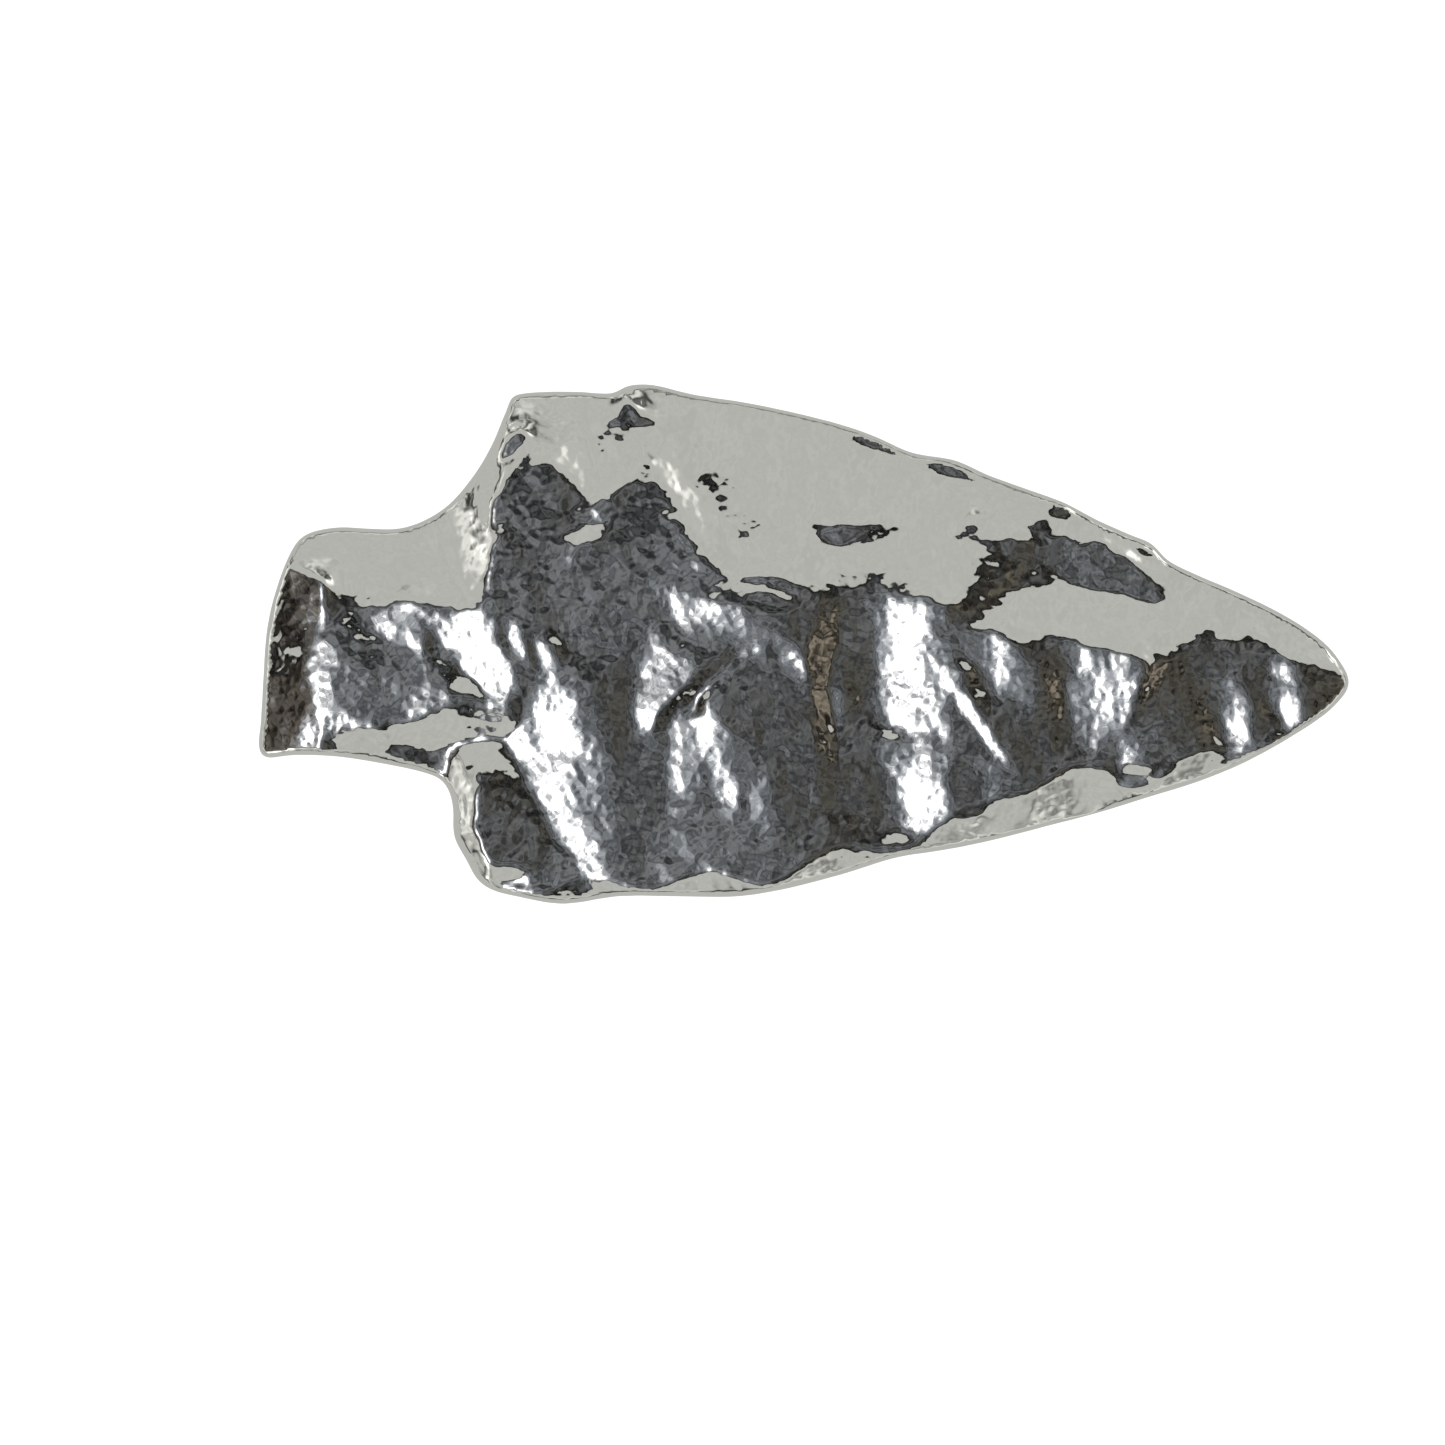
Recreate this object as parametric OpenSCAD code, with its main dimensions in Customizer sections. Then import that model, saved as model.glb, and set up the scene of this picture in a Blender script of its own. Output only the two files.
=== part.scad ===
// Stemmed, side-notched arrowhead, cast as one solid piece of metal.
// It lies on its flat back: the tip points to +X and the flaked face looks up to +Z.

/* [Blade] */
// Length of the blade, from the shoulders to the tip
blade_length = 38.5; // [30:0.5:50]
// Upper half width of the blade, from its long axis to its widest point
upper_half_width = 12.2; // [9:0.1:15]
// Lower half width of the blade, from its long axis to its widest point
lower_half_width = 11.8; // [9:0.1:15]
// How far the tip leans from the long axis towards the lower edge
tip_drop = 1.8; // [0:0.1:3]

/* [Stem] */
// Length of the stem, from the shoulders to its base
stem_length = 11.5; // [9:0.5:14]
// Width of the stem behind the notches
stem_width = 10.6; // [8.5:0.1:13]

/* [Thickness] */
// Thickness at the crown of the flaked face, before its scars are cut
thickness = 5.0; // [4:0.1:6.5]
// Height of the flaked face above the flat back, along the edge
edge_height = 2.6; // [2.1:0.1:3.2]
// How far the crown lies from the long axis towards the upper edge, at the shoulders
crown_offset = 1.2; // [0:0.1:3]
// How far the flaked face falls from the crown to the lower bevel
lower_face_drop = 1.2; // [0.8:0.1:1.6]
// Slope of the short bevel along the lower edge, in degrees
lower_bevel_angle = 32; // [26:1:44]
// Slope of the bevel at the stem's base, in degrees
base_bevel_angle = 22; // [16:1:30]
// Radius of the hollow bevels around the stem
stem_bevel_radius = 10; // [8:0.5:13]

/* [Edge flaking] */
// Distance between the small scars along the upper edge
edge_scar_pitch = 3.6; // [3:0.1:5]
// Radius of the small scars along the upper edge
edge_scar_radius = 5; // [4:0.5:7]
// Depth of the small scars along the upper edge
edge_scar_depth = 0.35; // [0.2:0.05:0.5]

/* [Back] */
// Distance between the scars around the back
back_scar_pitch = 5; // [4:0.1:7]
// Radius of the scars around the back
back_scar_radius = 9; // [7:0.5:12]
// Depth of the scars around the back
back_scar_depth = 1.1; // [0.8:0.1:1.3]

/* [Hidden] */

// Spans between two points of the outline, each rounded by a cubic curve.
CURVE_STEPS = 3;
// Segments of a full circle on the scars.
SCAR_FN = 96;
// Half the size of the cutters that reach past the casting on every side.
ROOM = 60;
// Half the length of a long scar's cutter, which runs out past the edges.
FLUTE_REACH = 30;

// The blade's edges: share of the blade's length, share of the half width.
UPPER_EDGE = [
    [0.01, 0.94], [0.07, 0.96], [0.12, 0.96], [0.14, 0.99], [0.17, 1.00], [0.22, 0.97],
    [0.28, 0.95], [0.34, 0.92], [0.40, 0.88], [0.44, 0.84], [0.48, 0.79], [0.53, 0.77],
    [0.57, 0.72], [0.61, 0.68], [0.66, 0.63], [0.70, 0.57], [0.74, 0.52], [0.765, 0.49],
    [0.785, 0.43], [0.82, 0.38], [0.87, 0.32], [0.92, 0.25], [0.96, 0.175], [0.985, 0.10]
];
LOWER_EDGE = [
    [0.01, 0.98], [0.065, 1.00], [0.13, 0.96], [0.20, 0.95], [0.27, 0.94], [0.33, 0.90],
    [0.40, 0.83], [0.46, 0.76], [0.52, 0.72], [0.58, 0.67], [0.64, 0.61], [0.70, 0.55],
    [0.76, 0.48], [0.82, 0.41], [0.88, 0.32], [0.94, 0.20], [0.98, 0.10]
];
// The notches: share of the stem's length, share of the way from the stem to the shoulder.
UPPER_NOTCH = [
    [0.44, 0.00], [0.33, 0.07], [0.23, 0.20], [0.13, 0.43], [0.06, 0.66], [0.01, 0.89]
];
LOWER_NOTCH = [
    [0.53, 0.02], [0.37, 0.08], [0.28, 0.14], [0.24, 0.24], [0.225, 0.37], [0.225, 0.48],
    [0.215, 0.59], [0.17, 0.74], [0.13, 0.87], [0.07, 0.95]
];
// The stem's base, from its lower to its upper corner: share of its length and half width.
STEM_BASE = [
    [0.70, -0.97], [0.86, -0.96], [0.97, -0.98], [1.00, -0.88], [0.992, -0.66], [0.983, -0.32],
    [0.968, 0.12], [0.93, 0.47], [0.87, 0.80], [0.81, 0.95], [0.69, 1.01], [0.57, 1.00]
];

// Round scars on the blade: share of its length, share of the half width, radius and
// depth below the crown.
BLADE_SCOOPS = [
    [0.27, -0.43, 12, 1.4],
    [0.47, -0.62, 5, 1.9],
    [0.67, 0.50, 30, 1.4],
    [0.77, -0.37, 3.5, 2.1]
];
// Long scars on the blade: share of its length, share of the half width, heading and rise
// in degrees, radius and depth below the crown.
BLADE_FLUTES = [
    [0.03, 0.33, 80, -3, 9, 1.25],
    [0.16, 0.35, 100, -2, 14, 1.3],
    [0.22, 0.03, 45, 3, 16, 0.95],
    [0.03, -0.10, 130, 0, 8, 1.1],
    [0.00, -0.60, 112, 4, 8, 1.5],
    [0.11, -0.58, 108, 5, 8, 1.65],
    [0.465, -0.27, 92, 7, 9, 1.1],
    [0.66, -0.15, 60, 6, 11, 1.5],
    [0.83, -0.09, 90, 3, 5, 1.95],
    [0.90, -0.08, 90, 3, 4, 2.25]
];
// Round scars on the stem: share of its length, share of its half width, radius and depth.
STEM_SCOOPS = [
    [0.12, -0.60, 7, 1.4],
    [0.46, -0.30, 13, 1.7]
];

stem_half = stem_width / 2;
// Slopes of the two large faces, which meet at the crown.
upper_bevel_angle = atan2(thickness - edge_height, upper_half_width - crown_offset);
lower_face_angle = atan2(lower_face_drop, lower_half_width + crown_offset);

// A place on the blade and on the stem, from the shoulders on the long axis.
function blade_at(station, share) = [
    station * blade_length,
    share * (share > 0 ? upper_half_width : lower_half_width) - tip_drop * station
];
function stem_at(station, share) = [-station * stem_length, share * stem_half];

upper_shoulder = blade_at(UPPER_EDGE[0][0], UPPER_EDGE[0][1]);
lower_shoulder = blade_at(LOWER_EDGE[0][0], -LOWER_EDGE[0][1]);

function notch_at(station, share, shoulder) = [
    -station * stem_length,
    sign(shoulder[1]) * stem_half + share * (shoulder[1] - sign(shoulder[1]) * stem_half)
];

// Points of the outline, counterclockwise from the tip.
outline_points = concat(
    [blade_at(1, 0)],
    [for (i = [len(UPPER_EDGE) - 1:-1:0]) blade_at(UPPER_EDGE[i][0], UPPER_EDGE[i][1])],
    [for (i = [len(UPPER_NOTCH) - 1:-1:0])
        notch_at(UPPER_NOTCH[i][0], UPPER_NOTCH[i][1], upper_shoulder)],
    [for (i = [len(STEM_BASE) - 1:-1:0]) stem_at(STEM_BASE[i][0], STEM_BASE[i][1])],
    [for (p = LOWER_NOTCH) notch_at(p[0], p[1], lower_shoulder)],
    [for (p = LOWER_EDGE) blade_at(p[0], -p[1])]
);

// A point of the cubic curve from b to c, with a and d as its neighbours.
function curve_point(a, b, c, d, t) =
    b + t / 2 * (c - a + t * (2 * a - 5 * b + 4 * c - d + t * (3 * (b - c) + d - a)));

function closed_curve(p, steps) = [
    for (i = [0:len(p) - 1], k = [0:steps - 1])
        let (n = len(p))
            curve_point(p[(i + n - 1) % n], p[i], p[(i + 1) % n], p[(i + 2) % n], k / steps)
];

raw_outline = closed_curve(outline_points, CURVE_STEPS);
outline_x = [for (p = raw_outline) p[0]];
outline_y = [for (p = raw_outline) p[1]];
// The middle of the outline's box, which is the part's origin.
middle = [(min(outline_x) + max(outline_x)) / 2, (min(outline_y) + max(outline_y)) / 2];

// A point of the upper (side 1) or lower (side -1) edge of the blade.
function edge_at(station, side) =
    blade_at(station, side * lookup(station, side > 0 ? UPPER_EDGE : LOWER_EDGE));

function heading(from, to) = atan2(to[1] - from[1], to[0] - from[0]);

// Everything above a plane that starts at the given height along the line between two
// points, and rises to the left of it.
module above_slope(from, to, height, angle) {
    translate([from[0], from[1], height])
        rotate([0, 0, heading(from, to)])
            rotate([angle, 0, 0])
                translate([-ROOM, -ROOM, 0])
                    cube([2 * ROOM, 2 * ROOM, ROOM]);
}

// A scoop with its lowest point at the given place and height.
module scoop(place, radius, floor_height) {
    translate([place[0], place[1], floor_height + radius])
        sphere(radius, $fn = SCAR_FN);
}

module blank() {
    linear_extrude(thickness) polygon(raw_outline);
}

// A long trough whose floor passes through the given place and height, and rises along
// its heading.
module flute(place, heading_angle, rise, radius, floor_height) {
    translate([place[0], place[1], floor_height])
        rotate([0, 0, heading_angle])
            rotate([0, -rise, 0])
                translate([-FLUTE_REACH, 0, radius])
                    rotate([0, 90, 0])
                        cylinder(h = 2 * FLUTE_REACH, r = radius, $fn = SCAR_FN);
}

module bevels() {
    above_slope(edge_at(0.36, 1), edge_at(0.08, 1), edge_height, upper_bevel_angle);
    above_slope(edge_at(0.70, 1), edge_at(0.40, 1), edge_height, upper_bevel_angle);
    above_slope(edge_at(0.95, 1), edge_at(0.76, 1), edge_height, upper_bevel_angle);
    above_slope(edge_at(0.06, -1), edge_at(0.30, -1), edge_height, lower_bevel_angle);
    above_slope(edge_at(0.36, -1), edge_at(0.60, -1), edge_height, lower_bevel_angle);
    above_slope(edge_at(0.62, -1), edge_at(0.84, -1), edge_height, lower_bevel_angle);
    above_slope(edge_at(0.86, -1), edge_at(0.97, -1), edge_height, lower_bevel_angle);
    above_slope(blade_at(1, 0), [0, crown_offset], thickness, -lower_face_angle);
}

module stem_bevels() {
    for (station = [0.25, 0.62, 0.95], side = [-1, 1]) {
        scoop(stem_at(station, 1.2 * side), stem_bevel_radius, edge_height);
    }
    above_slope(stem_at(1, 1), stem_at(1, -1), edge_height, base_bevel_angle);
}

module large_scars() {
    for (scar = BLADE_SCOOPS) {
        scoop(blade_at(scar[0], scar[1]), scar[2], thickness - scar[3]);
    }
    for (scar = BLADE_FLUTES) {
        flute(blade_at(scar[0], scar[1]), scar[2], scar[3], scar[4], thickness - scar[5]);
    }
    for (scar = STEM_SCOOPS) {
        scoop(stem_at(scar[0], scar[1]), scar[2], thickness - scar[3]);
    }
}

module edge_scars() {
    step = edge_scar_pitch / blade_length;
    for (station = [0.40:step:0.93]) {
        scoop(edge_at(station, 1), edge_scar_radius, edge_height - edge_scar_depth);
    }
}

module back_scar(place) {
    translate([place[0], place[1], back_scar_depth - back_scar_radius])
        sphere(back_scar_radius, $fn = SCAR_FN);
}

module back_scars() {
    step = back_scar_pitch / blade_length;
    for (station = [0.03:step:0.97]) {
        back_scar(edge_at(station, 1));
        back_scar(edge_at(station, -1));
    }
    for (station = [0.30, 0.72], side = [-1, 1]) {
        back_scar(stem_at(station, side));
    }
    for (share = [-0.6, 0.3]) {
        back_scar(stem_at(1, share));
    }
}

module arrowhead() {
    color("silver")
        translate([-middle[0], -middle[1], 0])
            difference() {
                blank();
                bevels();
                stem_bevels();
                large_scars();
                edge_scars();
                back_scars();
            }
}

arrowhead();
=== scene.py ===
import math

import bpy
import numpy as np
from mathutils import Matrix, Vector
from mathutils.geometry import delaunay_2d_cdt


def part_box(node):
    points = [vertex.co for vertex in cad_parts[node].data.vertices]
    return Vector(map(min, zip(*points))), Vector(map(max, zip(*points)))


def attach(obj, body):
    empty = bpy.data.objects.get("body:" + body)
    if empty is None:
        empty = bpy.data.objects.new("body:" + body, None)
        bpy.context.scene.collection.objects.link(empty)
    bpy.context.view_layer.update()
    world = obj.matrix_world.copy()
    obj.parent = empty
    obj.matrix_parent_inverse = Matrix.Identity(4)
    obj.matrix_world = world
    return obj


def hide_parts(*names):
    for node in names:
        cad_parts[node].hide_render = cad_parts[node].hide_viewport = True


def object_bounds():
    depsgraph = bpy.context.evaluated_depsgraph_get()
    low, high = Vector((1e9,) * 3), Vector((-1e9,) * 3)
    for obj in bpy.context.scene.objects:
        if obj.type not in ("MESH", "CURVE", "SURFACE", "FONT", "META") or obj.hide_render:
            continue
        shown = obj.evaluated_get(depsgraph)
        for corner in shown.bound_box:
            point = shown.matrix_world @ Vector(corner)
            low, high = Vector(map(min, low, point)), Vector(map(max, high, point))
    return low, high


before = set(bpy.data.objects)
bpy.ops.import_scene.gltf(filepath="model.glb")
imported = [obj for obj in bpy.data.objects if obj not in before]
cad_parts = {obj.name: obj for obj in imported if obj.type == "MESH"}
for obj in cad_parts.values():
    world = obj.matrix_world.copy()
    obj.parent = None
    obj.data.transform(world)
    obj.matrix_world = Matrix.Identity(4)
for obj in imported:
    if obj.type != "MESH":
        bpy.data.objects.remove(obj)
cad_low, cad_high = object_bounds()

# Everything about the casting is worked out in millimetres, in the frame's own axes.
MM = 0.001
NODE = "arrowhead"
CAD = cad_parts[NODE]
LOW, HIGH = (np.array(corner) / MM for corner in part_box(NODE))
CENTRE = (LOW + HIGH) / 2

GRID = 0.155  # spacing of the mesh's points
OUTLINE_STEP = 0.15  # spacing of the outline's points
CORNER_PASSES = 12  # how often the outline's corners are rounded a little
SLIVER = 0.002  # twice the area of the smallest wall triangle that is trusted
RIM_WIDTH = 0.22  # how far in from the outline the rounded rim reaches
RIM_ROWS = 3
TRUE_DEPTH = 0.97  # share of its depth that a rim point must keep, or it lies across a corner
EDGE_HEIGHT = 2.6  # height of the flaked face where the rim starts
HOLD = 7.0  # how far a facet's lean carries the face with it
PAD = 120  # empty grid points past the casting, so that its ends don't meet
ROUNDS = 25  # rounds in which the face settles to the facets' leans
LOOSE = 0.08  # how firmly the untouched blank keeps its slopes, where a facet is 1
PUSH = 1.5  # how much of what the face's lean still lacks is asked for in a round
MAP_STEP = 0.13  # spacing of the flaked face's height map
MAP_EDGE = 4  # points of the height map past the casting, on each side
RIM_MIDDLE = 1.65  # height of the outline, where the face and the back meet
ON_RIM = 1e-4  # a point no further in than this is the rim's own
BATCH = 4000  # points measured at a time, to spare memory


# ---------------------------------------------------------------- outline

def cad_outline():
    """The outline's corners, counterclockwise, from the CAD node's upright side walls."""
    mesh = CAD.data
    mesh.calc_loop_triangles()
    places = np.array([v.co for v in mesh.vertices]) / MM
    triangles = np.array([t.vertices for t in mesh.loop_triangles])
    corners = places[triangles]
    normal = np.cross(corners[:, 1] - corners[:, 0], corners[:, 2] - corners[:, 0])
    size = np.linalg.norm(normal, axis=1)
    wall = (size > SLIVER) & (np.abs(normal[:, 2]) < 0.01 * size)
    points = np.unique(np.round(places[np.unique(triangles[wall]), :2], 2), axis=0)
    points = points[np.argsort(np.arctan2(points[:, 1] - CENTRE[1], points[:, 0] - CENTRE[0]))]
    kept = [points[0]]
    for point in points[1:]:
        if np.linalg.norm(point - kept[-1]) > 0.4 * OUTLINE_STEP:
            kept.append(point)
    return np.array(kept)


def resample(points, step):
    """The closed line through the points, as points that lie an even step apart."""
    closed = np.vstack([points, points[:1]])
    run = np.concatenate([[0], np.cumsum(np.linalg.norm(np.diff(closed, axis=0), axis=1))])
    count = int(round(run[-1] / step))
    at = np.arange(count) * run[-1] / count
    return np.c_[np.interp(at, run, closed[:, 0]), np.interp(at, run, closed[:, 1])]


def soften(points, passes):
    """The closed line with its corners rounded, without the shrinking that plain averaging gives."""
    for _ in range(passes):
        for weight in (0.5, -0.52):
            middle = (np.roll(points, 1, 0) + np.roll(points, -1, 0)) / 2
            points = points + weight * (middle - points)
    return points


def distance_to(points, line):
    """Each point's distance to the closed line."""
    a, b = line, np.roll(line, -1, 0)
    ab = b - a
    length2 = (ab * ab).sum(1)
    best = np.empty(len(points))
    for start in range(0, len(points), BATCH):
        p = points[start:start + BATCH, None, :]
        t = np.clip(((p - a) * ab).sum(2) / length2, 0, 1)
        gap = p - (a + t[..., None] * ab)
        best[start:start + BATCH] = np.sqrt((gap * gap).sum(2).min(1))
    return best


def inside(points, line):
    """Whether each point is inside the closed line, which every ray from the centre meets once."""
    def angle(p):
        return np.arctan2(p[:, 1] - CENTRE[1], p[:, 0] - CENTRE[0])

    reach = np.linalg.norm(line - CENTRE[:2], axis=1)
    limit = np.interp(angle(points), angle(line), reach, period=2 * math.pi)
    return np.linalg.norm(points - CENTRE[:2], axis=1) < limit


# ---------------------------------------------------------------- surfaces

def smooth(value, low, high):
    """0 up to low, 1 from high on, and smooth between."""
    t = np.clip((value - low) / (high - low), 0, 1)
    return t * t * (3 - 2 * t)


def softmin(a, b, width):
    """The lower of two heights, with the seam between them rounded over the width."""
    h = np.clip(0.5 + 0.5 * (b - a) / width, 0, 1)
    return b * (1 - h) + a * h - width * h * (1 - h)


def spline_weights(f):
    """The shares of four values in a row, at a place that is f of the way between the middle two."""
    return (
        (1 - f) ** 3 / 6,
        (3 * f ** 3 - 6 * f ** 2 + 4) / 6,
        (-3 * f ** 3 + 3 * f ** 2 + 3 * f + 1) / 6,
        f ** 3 / 6,
    )


def sample(table, column, row):
    """The smooth surface through a table's values, at fractional columns and rows from 1 on."""
    j, i = np.floor(column).astype(int), np.floor(row).astype(int)
    total = np.zeros_like(column)
    for a, weight_a in enumerate(spline_weights(row - i)):
        for b, weight_b in enumerate(spline_weights(column - j)):
            total += weight_a * weight_b * table[i + a - 1, j + b - 1]
    return total


# Noise: the area it covers, and its layers, each with its amount, spacing and seed.
NOISE_CORNER = (-33, -18)
NOISE_SIZE = (70, 40)
RAGGED = [(0.3, 0.9, 31), (0.2, 0.4, 32)]
RIPPLES = [(0.03, 1.5, 3), (0.025, 0.7, 4), (0.012, 0.4, 5)]
UNEVEN_BACK = [(0.16, 2.4, 21), (0.03, 0.8, 22)]


def noise(x, y, layers):
    """The sum of some layers of smooth seeded noise."""
    total = 0
    for amount, spacing, seed in layers:
        rng = np.random.default_rng(seed)
        shape = [int(length / spacing) + 6 for length in reversed(NOISE_SIZE)]
        column = (x - NOISE_CORNER[0]) / spacing + 1
        row = (y - NOISE_CORNER[1]) / spacing + 1
        total = total + amount * sample(rng.standard_normal(shape), column, row)
    return total


def slope(x, y, at, heading, degrees, height):
    """A plane that has the height on the line through a point, and rises left of its heading."""
    h = math.radians(heading)
    inward = -(x - at[0]) * math.sin(h) + (y - at[1]) * math.cos(h)
    return height + inward * math.tan(math.radians(degrees))


# Facets of the flaked face, in the order they were struck. Each row is its place, its heading,
# its half length and half width, how far it falls per millimetre along X and along Y, and how
# wide its border is: crisp where scars meet in a ridge, wide where one runs into the next.
CRISP, SOFT, WIDE = 0.12, 0.35, 0.7
FACETS = [
    # upper face: two long lobes under the shoulder, and the coast that runs on to the right
    ((-12.1, 4.6), 85, 3.8, 2.0, 0.07, -0.14, CRISP),
    ((-7.3, 4.0), 106, 4.0, 1.8, 0.09, -0.12, CRISP),
    ((-9.4, 2.2), -4, 4.8, 2.5, 0.06, -0.12, CRISP),
    ((-1.4, -0.4), -10, 4.6, 1.6, 0.05, -0.14, CRISP),
    ((-9.9, 5.0), 20, 1.3, 0.5, 0.02, 0.27, CRISP),
    ((-7.3, 6.2), 100, 2.4, 1.1, 0.08, -0.18, CRISP),
    ((-10.1, 7.8), -38, 1.6, 0.7, 0.33, 0.21, CRISP),
    ((-8.6, 7.8), 35, 1.5, 0.7, -0.15, 0.24, CRISP),
    ((-4.8, 5.8), -57, 3.0, 0.7, 0.31, 0.25, SOFT),
    # stem: end wall, bowl and its bright rim
    ((-23.4, -1.0), 90, 4.8, 1.5, -0.44, -0.14, CRISP),
    ((-18.6, -1.6), 0, 3.4, 2.4, 0.06, -0.06, SOFT),
    ((-22.0, -1.8), 95, 2.2, 0.5, -0.07, -0.12, SOFT),
    ((-17.2, 0.9), 3, 3.2, 0.9, -0.21, -0.21, SOFT),
    ((-22.4, -3.6), 90, 0.5, 0.4, -0.21, -0.21, CRISP),
    # left half of the lower face
    ((-10.6, -6.4), -72, 4.4, 2.2, -0.06, -0.11, WIDE),
    ((-7.6, -7.2), 80, 3.0, 1.4, 0.08, -0.10, WIDE),
    ((-14.6, -1.8), 102, 2.8, 1.2, -0.24, -0.22, SOFT),
    ((-13.0, -0.2), 120, 1.3, 0.4, -0.21, -0.21, CRISP),
    ((-11.9, -0.4), 100, 0.6, 0.5, -0.21, -0.21, SOFT),
    ((-11.3, -3.4), 110, 1.3, 0.8, -0.21, -0.21, SOFT),
    ((-13.6, -5.4), -58, 5.0, 0.6, 0.34, 0.00, CRISP),
    ((-11.8, -6.6), -62, 3.2, 0.9, -0.11, -0.13, SOFT),
    ((-13.6, -8.2), 100, 2.4, 1.5, 0.16, -0.05, CRISP),
    ((-13.7, -10.6), 0, 1.0, 0.5, -0.05, -0.60, CRISP),
    ((-15.3, -9.0), 0, 0.5, 0.4, -0.70, -0.40, CRISP),
    ((-16.4, -3.9), 8, 2.8, 0.9, -0.05, -0.60, CRISP),
    ((-15.7, -6.7), 95, 1.8, 0.6, -0.80, -0.10, CRISP),
    # middle of the lower face: a round bowl with lumps, left of the long crest
    ((-6.4, -1.7), 60, 1.9, 1.0, -0.21, -0.21, SOFT),
    ((-7.2, -3.6), 100, 0.9, 0.5, -0.21, -0.21, SOFT),
    ((-3.2, 0.4), -25, 2.2, 0.9, -0.21, -0.21, SOFT),
    ((-1.6, 0.1), -40, 1.9, 0.35, -0.21, -0.21, CRISP),
    ((-5.5, -2.5), 45, 3.0, 0.45, 0.34, -0.36, CRISP),
    ((-1.8, -2.6), -20, 2.4, 1.5, 0.20, -0.10, SOFT),
    ((-4.6, -3.9), 0, 0.4, 0.4, -0.21, -0.21, CRISP),
    ((-5.6, -5.2), 90, 1.7, 0.5, -0.12, -0.15, SOFT),
    ((-3.4, -7.2), 90, 1.0, 0.7, -0.18, -0.18, SOFT),
    ((-2.0, -7.4), 90, 1.0, 0.8, -0.10, -0.16, SOFT),
    ((-0.6, -6.0), 90, 2.2, 0.9, 0.12, -0.12, WIDE),
    # crest and the bright trough right of it
    ((1.2, 0.2), 65, 1.6, 0.55, 0.36, -0.14, CRISP),
    ((0.8, -2.4), 95, 2.6, 0.5, 0.38, -0.02, CRISP),
    ((2.5, -1.6), 90, 3.2, 0.8, 0.16, -0.10, CRISP),
    ((3.2, -6.4), 90, 1.8, 1.3, 0.10, -0.10, WIDE),
    ((5.2, -1.4), 92, 3.4, 1.9, -0.22, -0.22, SOFT),
    ((5.1, -5.2), 0, 1.7, 1.1, -0.10, -0.15, SOFT),
    ((5.3, -7.1), 0, 1.6, 1.1, -0.21, -0.21, WIDE),
    ((5.5, 1.4), 0, 1.5, 0.35, -0.21, -0.21, CRISP),
    ((7.5, -5.6), 90, 2.2, 0.9, 0.08, -0.12, SOFT),
    # towards the tip
    ((8.9, 3.0), 48, 3.1, 1.1, 0.12, -0.14, CRISP),
    ((13.2, 3.4), -18, 4.2, 0.9, 0.0, -0.12, CRISP),
    ((12.4, 0.9), -22, 3.6, 0.8, 0.05, 0.22, CRISP),
    ((11.7, -3.3), -5, 4.2, 2.6, 0.18, -0.10, SOFT),
    ((8.9, -0.7), -40, 2.2, 1.0, -0.21, -0.21, SOFT),
    ((8.4, -4.3), -54, 3.0, 0.28, -0.26, -0.24, CRISP),
    ((13.0, -2.9), 90, 1.9, 1.0, -0.09, -0.13, SOFT),
    ((14.0, -1.9), 65, 2.0, 1.5, -0.25, -0.24, CRISP),
    ((20.3, -2.2), -12, 4.8, 2.3, 0.12, -0.06, CRISP),
    ((19.8, -3.0), 95, 1.6, 0.75, -0.25, -0.22, SOFT),
    ((22.2, -2.5), 95, 1.4, 0.8, -0.25, -0.22, SOFT),
    # nicks, pits and slivers
    ((3.4, 9.1), -22, 0.8, 0.14, 0.05, -0.25, CRISP),
    ((7.2, 7.7), -22, 1.1, 0.16, 0.05, -0.25, CRISP),
    ((15.4, 4.3), -30, 0.6, 0.14, 0.05, -0.25, CRISP),
    ((15.1, -6.3), 0, 0.6, 0.35, 0.0, -0.10, CRISP),
    ((16.4, -5.8), 30, 0.9, 0.5, 0.05, -0.10, CRISP),
    ((2.3, 5.1), 12, 1.5, 0.4, 0.0, -0.22, CRISP),
    ((-8.2, 9.9), 80, 1.0, 0.35, 0.0, -0.25, CRISP),
    ((-8.2, 10.1), 0, 0.9, 0.25, 0.0, -0.25, CRISP),
    ((-13.2, 9.1), 50, 0.7, 0.3, 0.0, -0.22, CRISP),
    ((-2.4, 2.9), -10, 0.6, 0.2, 0.02, -0.22, CRISP),
    ((-0.9, 2.6), -30, 0.6, 0.2, 0.02, -0.22, CRISP),
    ((-1.6, 2.0), -10, 0.8, 0.2, 0.02, -0.20, CRISP),
]


WIDEST_BORDER = 1.2  # half width past which a facet's border is no longer drawn in proportion


def facet_share(x, y, facet, ragged):
    """How much of each point belongs to the facet: ragged at its border, full inside it."""
    (at_x, at_y), heading, half_length, half_width, _, _, border = facet
    h = math.radians(heading)
    dx, dy = x - at_x, y - at_y
    along = dx * math.cos(h) + dy * math.sin(h)
    across = -dx * math.sin(h) + dy * math.cos(h)
    gap = (np.hypot(along / half_length, across / half_width) - 1) * min(half_width, WIDEST_BORDER)
    gap = gap + ragged * min(1, 1.5 * half_width)
    return 1 - smooth(gap, -border, border)


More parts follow.
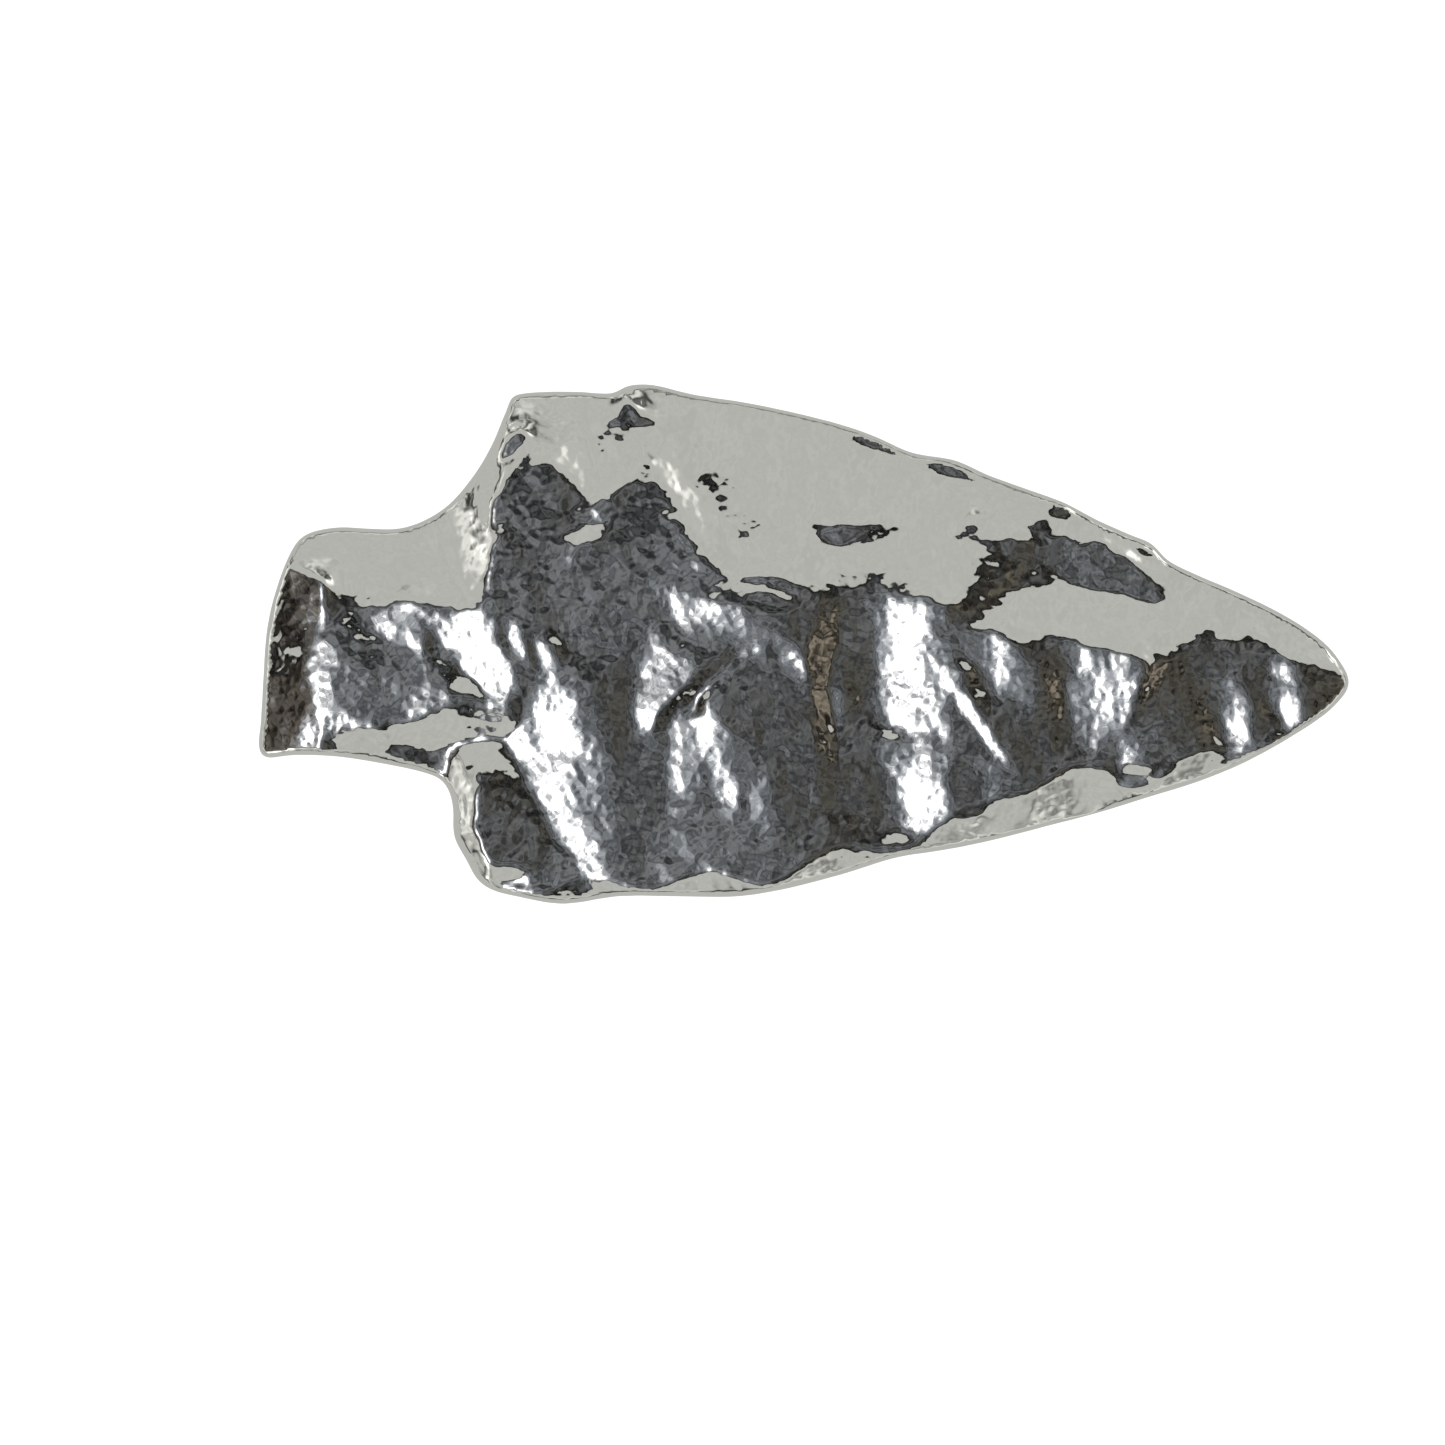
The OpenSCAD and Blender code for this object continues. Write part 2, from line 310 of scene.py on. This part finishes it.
# Planes of the blank: a point of its edge, the edge's heading there, and the plane's rise in
# degrees.
UPPER_PLANES = [
    ((-6, 11.8), 177, 13),
    ((8, 7.9), 158, 13),
    ((19, 2.8), 148, 14),
]
STEM_TOP = ((-19, 5.5), 180, 14)
STEM_END = ((-25, 0), -90, 22)
STEM_SHOULDER = -17  # where the stem's upper plane starts to curve up into the blade
SEAM = 0.3  # width of the seams between the blank's planes
BEVEL_SEAM = 0.05
BEVEL_HEIGHT = 3.3  # height of the lower bevel's inner border
BEVEL_RISE = 0.62
BEVEL_TOP = -3.2  # how far up the bevel goes before it lifts off the blank


def blank_height(x, y, inset):
    """The blank before flaking: its planes, a low crown and the bevel along the lower edge."""
    upper = [slope(x, y, *plane, EDGE_HEIGHT) for plane in UPPER_PLANES]
    shoulder = 0.16 * np.clip(x - STEM_SHOULDER, 0, None) ** 2
    stem_top = slope(x, y, *STEM_TOP, EDGE_HEIGHT) + shoulder
    stem_end = slope(x, y, *STEM_END, EDGE_HEIGHT)
    crown = 4.45 - 0.024 * np.clip(x, 0, None) + 0.10 * (y - 1.5) - 0.01 * np.abs(x + 5)
    z = upper[0]
    for height in upper[1:] + [stem_top, stem_end, crown]:
        z = softmin(z, height, SEAM)
    bulge = smooth(x, 5, 10) * (1 - smooth(x, 14, 20))
    width = 0.95 + 1.25 * bulge + 0.35 * np.sin(1.1 * x)
    lift = 0.35 * smooth(y, BEVEL_TOP, 0.0) * (y - BEVEL_TOP)
    return softmin(z, BEVEL_HEIGHT + BEVEL_RISE * (inset - width) + lift, BEVEL_SEAM)


def relief(fall_x, fall_y, step):
    """The change of height whose falls come nearest to the wanted ones, and the falls it has."""
    rows, columns = fall_x.shape
    shape = (rows + PAD, columns + PAD)
    kx = 2 * math.pi * np.fft.fftfreq(shape[1], step)[None, :]
    ky = 2 * math.pi * np.fft.fftfreq(shape[0], step)[:, None]
    wanted = 1j * (kx * np.fft.fft2(fall_x, shape) + ky * np.fft.fft2(fall_y, shape))
    height = wanted / (kx ** 2 + ky ** 2 + 1 / HOLD ** 2)
    falls = [-np.fft.ifft2(1j * k * height).real[:rows, :columns] for k in (kx, ky)]
    return np.fft.ifft2(height).real[:rows, :columns], falls


def face_height(x, y, inset, step):
    """Height of the flaked face over a grid of points, before its rim is rounded.

    No surface has every lean that the facets ask for, so the face settles to them in rounds.
    """
    blank = blank_height(x, y, inset)
    blank_y, blank_x = np.gradient(blank, step)
    fall_x, fall_y = -blank_x, -blank_y
    pull = np.full_like(x, LOOSE)
    ragged = noise(x, y, RAGGED)
    for facet in FACETS:
        share = facet_share(x, y, facet, ragged)
        facet_x, facet_y = facet[4:6]
        fall_x = fall_x + share * (facet_x - fall_x)
        fall_y = fall_y + share * (facet_y - fall_y)
        pull = pull + share * (1 - pull)
    wanted_x, wanted_y = fall_x + blank_x, fall_y + blank_y
    got_x, got_y = np.zeros_like(x), np.zeros_like(x)
    for _ in range(ROUNDS):
        asked_x = got_x + pull * (wanted_x - got_x) * PUSH
        asked_y = got_y + pull * (wanted_y - got_y) * PUSH
        change, (got_x, got_y) = relief(asked_x, asked_y, step)
    return blank + change + noise(x, y, RIPPLES)


SCAR_DEPTH = 1.1  # of the back's scars, at its edge
SCAR_RISE = 0.34
SCAR_SEAM = 0.2


def back_height(x, y, inset):
    """Height of the back: flat, with shallow scars of uneven depth round its edge."""
    scar = SCAR_DEPTH - SCAR_RISE * inset + noise(x, y, UNEVEN_BACK)
    return -softmin(-scar, np.zeros_like(x), SCAR_SEAM)


# ---------------------------------------------------------------- mesh

def clean_outline():
    """The casting's outline, softened, and the size of the CAD node again after that."""
    outline = soften(resample(cad_outline(), OUTLINE_STEP), CORNER_PASSES)
    low, high = outline.min(0), outline.max(0)
    return (outline - low) / (high - low) * (HIGH[:2] - LOW[:2]) + LOW[:2]


def flat_points(outline):
    """Rows of points that follow the outline inward, then a triangular grid."""
    tangent = np.roll(outline, -1, 0) - np.roll(outline, 1, 0)
    inward = np.c_[-tangent[:, 1], tangent[:, 0]]
    inward /= np.linalg.norm(inward, axis=1)[:, None]
    rows = [outline]
    for row in range(1, RIM_ROWS + 1):
        depth = RIM_WIDTH * (1 - math.cos(math.pi / 2 * row / RIM_ROWS))
        points = outline + depth * inward
        rows.append(points[distance_to(points, outline) > TRUE_DEPTH * depth])
    xs = np.arange(LOW[0], HIGH[0], GRID)
    ys = np.arange(LOW[1], HIGH[1], GRID * math.sqrt(3) / 2)
    gx, gy = np.meshgrid(xs, ys)
    gx[1::2] += GRID / 2
    grid = np.c_[gx.ravel(), gy.ravel()]
    grid = grid[inside(grid, outline)]
    grid = grid[distance_to(grid, outline) > RIM_WIDTH + 0.6 * GRID]
    return np.vstack(rows + [grid])


def face_at(x, y, outline):
    """Height of the flaked face at each point, from its height map."""
    before, after = MAP_EDGE * MAP_STEP, (MAP_EDGE + 1) * MAP_STEP
    xs = np.arange(LOW[0] - before, HIGH[0] + after, MAP_STEP)
    ys = np.arange(LOW[1] - before, HIGH[1] + after, MAP_STEP)
    gx, gy = np.meshgrid(xs, ys)
    flat = np.c_[gx.ravel(), gy.ravel()]
    inset = np.where(inside(flat, outline), distance_to(flat, outline), 0).reshape(gx.shape)
    height = face_height(gx, gy, inset, MAP_STEP)
    return sample(height, (x - xs[0]) / MAP_STEP, (y - ys[0]) / MAP_STEP)


def flat_mesh(outline):
    """Points and triangles that fill the outline, and how far in from it each point is."""
    points = [Vector(p) for p in flat_points(outline)]
    found = delaunay_2d_cdt(points, [], [list(range(len(outline)))], 1, 1e-6, False)
    flat = np.array([tuple(v) for v in found[0]])
    faces = np.array([tuple(f) for f in found[2]])
    faces = faces[inside(flat[faces].mean(1), outline)]
    inset = distance_to(flat, outline)
    # A triangle with all its corners on the rim would be the same on the face and on the back.
    faces = faces[(inset[faces] > ON_RIM).any(1)]
    return flat, faces, inset


def casting_mesh():
    """The casting: the flaked face and the back, which share the points of the rim."""
    outline = clean_outline()
    flat, faces, inset = flat_mesh(outline)
    x, y = flat.T
    share = np.sqrt(np.clip(1 - (1 - np.clip(inset / RIM_WIDTH, 0, 1)) ** 2, 0, 1))
    top = RIM_MIDDLE + (face_at(x, y, outline) - RIM_MIDDLE) * share
    back = RIM_MIDDLE + (back_height(x, y, inset) - RIM_MIDDLE) * share
    top *= HIGH[2] / top.max()
    back = np.maximum(back, LOW[2])
    inner = np.flatnonzero(inset > ON_RIM)
    lower = np.arange(len(flat))
    lower[inner] = len(flat) + np.arange(len(inner))
    vertices = np.vstack([np.c_[flat, top], np.c_[flat[inner], back[inner]]]) * MM
    polygons = np.vstack([faces, lower[faces[:, ::-1]]])
    mesh = bpy.data.meshes.new("cast_arrowhead")
    mesh.from_pydata(vertices.tolist(), [], polygons.tolist())
    mesh.update()
    mesh.shade_smooth()
    unwrap(mesh, len(faces))
    return mesh


MAP_MARGIN = 0.02  # empty share round each half of the map to bake on


def unwrap(mesh, top_count):
    """The map to bake on: the flaked face in one half, the back in the other."""
    layer = mesh.uv_layers.new(name="OFBake")
    corners = np.array([loop.vertex_index for loop in mesh.loops])
    places = np.array([v.co for v in mesh.vertices])[corners] / MM
    size = (HIGH - LOW)[:2]
    u = (places[:, 0] - LOW[0]) / size[0] * (1 - 2 * MAP_MARGIN) + MAP_MARGIN
    v = (places[:, 1] - LOW[1]) / size[1] * (0.5 - 2 * MAP_MARGIN) + MAP_MARGIN
    v[3 * top_count:] += 0.5
    layer.data.foreach_set("uv", np.c_[u, v].astype(np.float32).ravel())


# ---------------------------------------------------------------- materials

GRAIN_DEPTH = 0.000016  # metres
WAVE_DEPTH = 0.000050


def bumped(tree, height, distance):
    """A bump node over a height."""
    bump = tree.nodes.new("ShaderNodeBump")
    bump.inputs["Strength"].default_value = 1.0
    bump.inputs["Distance"].default_value = distance
    tree.links.new(height, bump.inputs["Height"])
    return bump


def polished_silver():
    """Bright silver with a fine cell-like grain and small waves."""
    material = bpy.data.materials.new("polished_silver")
    material.use_nodes = True
    tree = material.node_tree
    shader = tree.nodes["Principled BSDF"]
    shader.inputs["Metallic"].default_value = 1.0
    shader.inputs["Base Color"].default_value = (0.95, 0.94, 0.92, 1)
    shader.inputs["Roughness"].default_value = 0.06
    coords = tree.nodes.new("ShaderNodeTexCoord").outputs["Object"]
    grain = tree.nodes.new("ShaderNodeTexVoronoi")
    grain.feature = "SMOOTH_F1"
    grain.inputs["Scale"].default_value = 2400
    grain.inputs["Smoothness"].default_value = 0.4
    tree.links.new(coords, grain.inputs["Vector"])
    waves = tree.nodes.new("ShaderNodeTexNoise")
    waves.inputs["Scale"].default_value = 1100
    waves.inputs["Detail"].default_value = 1.0
    waves.inputs["Roughness"].default_value = 0.6
    tree.links.new(coords, waves.inputs["Vector"])
    grain_bump = bumped(tree, grain.outputs["Distance"], GRAIN_DEPTH)
    wave_bump = bumped(tree, waves.outputs[0], WAVE_DEPTH)
    tree.links.new(grain_bump.outputs["Normal"], wave_bump.inputs["Normal"])
    tree.links.new(wave_bump.outputs["Normal"], shader.inputs["Normal"])
    return material


# ---------------------------------------------------------------- studio

class Field:
    """A number that varies over the directions of the room, built from the world's nodes."""

    def __init__(self, tree, socket):
        self.tree = tree
        self.socket = socket

    def math(self, operation, other=0.0):
        node = self.tree.nodes.new("ShaderNodeMath")
        node.operation = operation
        set_or_link(self.tree, node.inputs[0], self)
        set_or_link(self.tree, node.inputs[1], other)
        return Field(self.tree, node.outputs[0])

    def __add__(self, other):
        return self.math("ADD", other)

    def __sub__(self, other):
        return self.math("SUBTRACT", other)

    def __mul__(self, other):
        return self.math("MULTIPLY", other)

    def __truediv__(self, other):
        return self.math("DIVIDE", other)

    def __pow__(self, other):
        return self.math("ABSOLUTE").math("POWER", other)

    def ramp(self, low, high):
        """0 up to low, 1 from high on, and smooth between."""
        node = self.tree.nodes.new("ShaderNodeMapRange")
        node.interpolation_type = "SMOOTHSTEP"
        set_or_link(self.tree, node.inputs[0], self)
        node.inputs[1].default_value = low
        node.inputs[2].default_value = high
        return Field(self.tree, node.outputs[0])

    def clamp(self, low, high):
        return self.math("MAXIMUM", low).math("MINIMUM", high)


def set_or_link(tree, socket, value):
    if isinstance(value, Field):
        tree.links.new(value.socket, socket)
    else:
        socket.default_value = value


def mixed(tree, share, first, second):
    """A colour between two others."""
    node = tree.nodes.new("ShaderNodeMix")
    node.data_type = "RGBA"
    set_or_link(tree, node.inputs[0], share)
    set_or_link(tree, node.inputs[6], first)
    set_or_link(tree, node.inputs[7], second)
    return Field(tree, node.outputs[2])


def scaled(tree, colour, amount):
    """A colour times a number."""
    node = tree.nodes.new("ShaderNodeVectorMath")
    node.operation = "SCALE"
    set_or_link(tree, node.inputs[0], colour if isinstance(colour, Field) else colour[:3])
    set_or_link(tree, node.inputs[3], amount)
    return Field(tree, node.outputs[0])


def summed(tree, first, second):
    """One colour added to another."""
    node = tree.nodes.new("ShaderNodeVectorMath")
    tree.links.new(first.socket, node.inputs[0])
    tree.links.new(second.socket, node.inputs[1])
    return Field(tree, node.outputs[0])


def lamp(u, v, place, power):
    """1 in the middle of a lamp and 0 away from it; a higher power gives a crisper border."""
    centre_u, centre_v, half_u, half_v = place
    far = ((u - centre_u) / half_u) ** power + ((v - centre_v) / half_v) ** power
    return (far * -1).math("EXPONENT")


def cloud(tree, u, v, scale, detail):
    """Noise over the room, about 1 either way from 0."""
    place = tree.nodes.new("ShaderNodeCombineXYZ")
    set_or_link(tree, place.inputs[0], u)
    set_or_link(tree, place.inputs[1], v)
    node = tree.nodes.new("ShaderNodeTexNoise")
    node.inputs["Scale"].default_value = scale
    node.inputs["Detail"].default_value = detail
    node.inputs["Roughness"].default_value = 0.65
    tree.links.new(place.outputs[0], node.inputs["Vector"])
    return (Field(tree, node.outputs[0]) - 0.5) * 4


PALE = (0.475, 0.48, 0.455, 1)
COOL_DARK = (0.058, 0.060, 0.060, 1)
OLIVE_DARK = (0.060, 0.055, 0.044, 1)
BEIGE = (0.19, 0.165, 0.13, 1)
BROWN = (0.085, 0.07, 0.05, 1)
BLUE_GREY = (0.90, 0.97, 1.08, 1)
WHITE = (1, 1, 1, 1)
BLACK = (0, 0, 0, 1)

# Places in the room: the u and v of the middle, then half the size along u and along v.
PATCH = (-0.05, -0.17, 0.57, 0.29)  # the dark patch overhead
PATCH_POWER = 2.5  # 2 would make it an ellipse, and more makes it boxier
GLARE = (-0.21, -0.23, 0.08, 0.15)  # the soft lamp in the patch
HALO = (-0.2, -0.2, 0.18, 0.20)  # faint light round that lamp
WALL_LAMPS = [(0.55, 0.45, 0.16, 0.22), (-0.50, -0.52, 0.16, 0.12)]
CALM = (0, -0.62, 0.35, 0.22)  # a stretch of wall that stays even


def directions(tree):
    """u and v, which run from -1 to 1 between the room's horizons, with 0 at its zenith."""
    split = tree.nodes.new("ShaderNodeSeparateXYZ")
    tree.links.new(tree.nodes.new("ShaderNodeTexCoord").outputs["Generated"], split.inputs[0])
    dx, dy, dz = (Field(tree, socket) for socket in split.outputs)
    below = (dz + 1.0).math("MAXIMUM", 0.02)
    return dx / below, dy / below


def patch_colour(tree, u, ring, broad, mottle):
    """The dark patch: cool to olive, beige and brown at its ends, near black at its rim."""
    colour = mixed(tree, u.ramp(0.08, 0.30), COOL_DARK, OLIVE_DARK)
    colour = mixed(tree, u.ramp(0.28, 0.34), colour, BEIGE)
    colour = mixed(tree, (u * -1).ramp(0.30, 0.36), colour, BROWN)
    colour = mixed(tree, ring.ramp(0.78, 0.92) * 0.85, colour, BLACK)
    return scaled(tree, colour, (mottle * 0.8 + broad * 0.7 + 0.85).clamp(0.12, 6))


def wall_colour(tree, u, v, broad, mottle):
    """The pale walls: even overhead, uneven lower down, and a little darker at the horizon."""
    radius = (u * u + v * v) ** 0.5
    uneven = radius.ramp(0.52, 0.76) * (lamp(u, v, CALM, 4) * -1 + 1.0)
    level = (cloud(tree, u, v, 2.7, 1) * uneven * 1.9 + 1.0).clamp(0.10, 3.5)
    for place in WALL_LAMPS:
        level = level * (lamp(u, v, place, 4) * 2.0 + 1.0)
    under = radius.ramp(0.99, 1.08)
    horizon = radius.ramp(0.80, 0.97) * (under * -1 + 1.0)
    colour = mixed(tree, under, scaled(tree, PALE, level), PALE)
    colour = scaled(tree, colour, horizon * -0.2 + 1.0)
    return scaled(tree, colour, broad * 0.05 + mottle * 0.04 + 1.0)


def lamplight(tree, u, v, in_patch, mottle):
    """The light of the lamp in the patch, with its halo."""
    halo = lamp(u, v, HALO, 2) * in_patch * (mottle * 0.7 + 1.0).clamp(0.2, 2) * 0.40
    glare = (lamp(u, v, GLARE, 3) * (mottle * 1.5 + 1.2)).clamp(0, 1) * in_patch * 1.6
    return summed(tree, scaled(tree, BLUE_GREY, halo), scaled(tree, WHITE, glare))


def studio_world():
    """A pale room with a dark patch overhead, a soft lamp in the patch and two on the walls."""
    world = bpy.data.worlds.new("studio")
    bpy.context.scene.world = world
    world.use_nodes = True
    tree = world.node_tree
    u, v = directions(tree)
    broad = cloud(tree, u, v, 12, 0)
    mottle = cloud(tree, u, v, 15, 2)
    centre_u, centre_v, half_u, half_v = PATCH
    ring = ((u - centre_u) / half_u) ** PATCH_POWER + ((v - centre_v) / half_v) ** PATCH_POWER
    ring = ring ** (1 / PATCH_POWER) + broad * 0.01
    outside = ring.ramp(0.96, 1.0)
    patch = patch_colour(tree, u, ring, broad, mottle)
    room = mixed(tree, outside, patch, wall_colour(tree, u, v, broad, mottle))
    lit = summed(tree, room, lamplight(tree, u, v, outside * -1 + 1.0, mottle))
    tree.links.new(lit.socket, tree.nodes["Background"].inputs["Color"])
    tree.nodes["Background"].inputs["Strength"].default_value = 1.0


def plain_material(name):
    """An even white glow. It takes no light from the room, so it is quick to render."""
    material = bpy.data.materials.new(name)
    material.use_nodes = True
    tree = material.node_tree
    tree.nodes.remove(tree.nodes["Principled BSDF"])
    glow = tree.nodes.new("ShaderNodeEmission")
    glow.inputs["Color"].default_value = WHITE
    glow.inputs["Strength"].default_value = 1.15
    tree.links.new(glow.outputs[0], tree.nodes["Material Output"].inputs["Surface"])
    return material


def staged(name, corners, faces, material):
    """A plain piece of the studio, which the metal doesn't mirror: it mirrors the room instead."""
    mesh = bpy.data.meshes.new(name)
    mesh.from_pydata(corners, [], faces)
    mesh.materials.append(material)
    piece = bpy.data.objects.new(name, mesh)
    piece.visible_glossy = False
    bpy.context.scene.collection.objects.link(piece)


# The floor and the backdrop, in metres.
FLOOR_HALF = 1.5
FLOOR_GAP = 0.00005  # between the floor and the casting, so that they don't share a plane
BACKDROP_RADIUS = 1.425
BACKDROP_TALL = 1.2
BACKDROP_SUNK = 0.01  # how far the backdrop reaches below the floor
BACKDROP_SIDES = 24


def floor_and_backdrop():
    """A pale floor, and a pale ring round it that stands higher than any view looks."""
    half, sides = FLOOR_HALF, BACKDROP_SIDES
    z = cad_low.z - FLOOR_GAP
    floor = [(-half, -half, z), (half, -half, z), (half, half, z), (-half, half, z)]
    staged("floor", floor, [(0, 1, 2, 3)], plain_material("white_floor"))
    ring = []
    for level in (z - BACKDROP_SUNK, BACKDROP_TALL):
        for side in range(sides):
            turn = 2 * math.pi * side / sides
            ring.append((BACKDROP_RADIUS * math.cos(turn), BACKDROP_RADIUS * math.sin(turn), level))
    walls = []
    for side in range(sides):
        after = (side + 1) % sides
        walls.append((side, after, sides + after, sides + side))
    staged("backdrop", ring, walls, plain_material("white_backdrop"))


# The picture's width and the place of its middle, in lengths of the casting.
PICTURE_WIDTH = 1.327
PICTURE_MIDDLE = (-0.0744, -0.0720)


def camera():
    """Straight above the casting, with the picture's width measured where its outline lies."""
    data = bpy.data.cameras.new("camera")
    data.lens = 200
    data.sensor_width = 36
    data.sensor_fit = "AUTO"
    eye = bpy.data.objects.new("camera", data)
    bpy.context.scene.collection.objects.link(eye)
    length = (HIGH[0] - LOW[0]) * MM
    distance = PICTURE_WIDTH * length * data.lens / data.sensor_width
    across, along = PICTURE_MIDDLE
    eye.location = (across * length, along * length, RIM_MIDDLE * MM + distance)
    bpy.context.scene.camera = eye


camera()
studio_world()
floor_and_backdrop()
casting = bpy.data.objects.new("cast_arrowhead", casting_mesh())
bpy.context.scene.collection.objects.link(casting)
casting.data.materials.append(polished_silver())
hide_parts(NODE)
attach(casting, "root")
bpy.context.scene.view_settings.view_transform = "Standard"
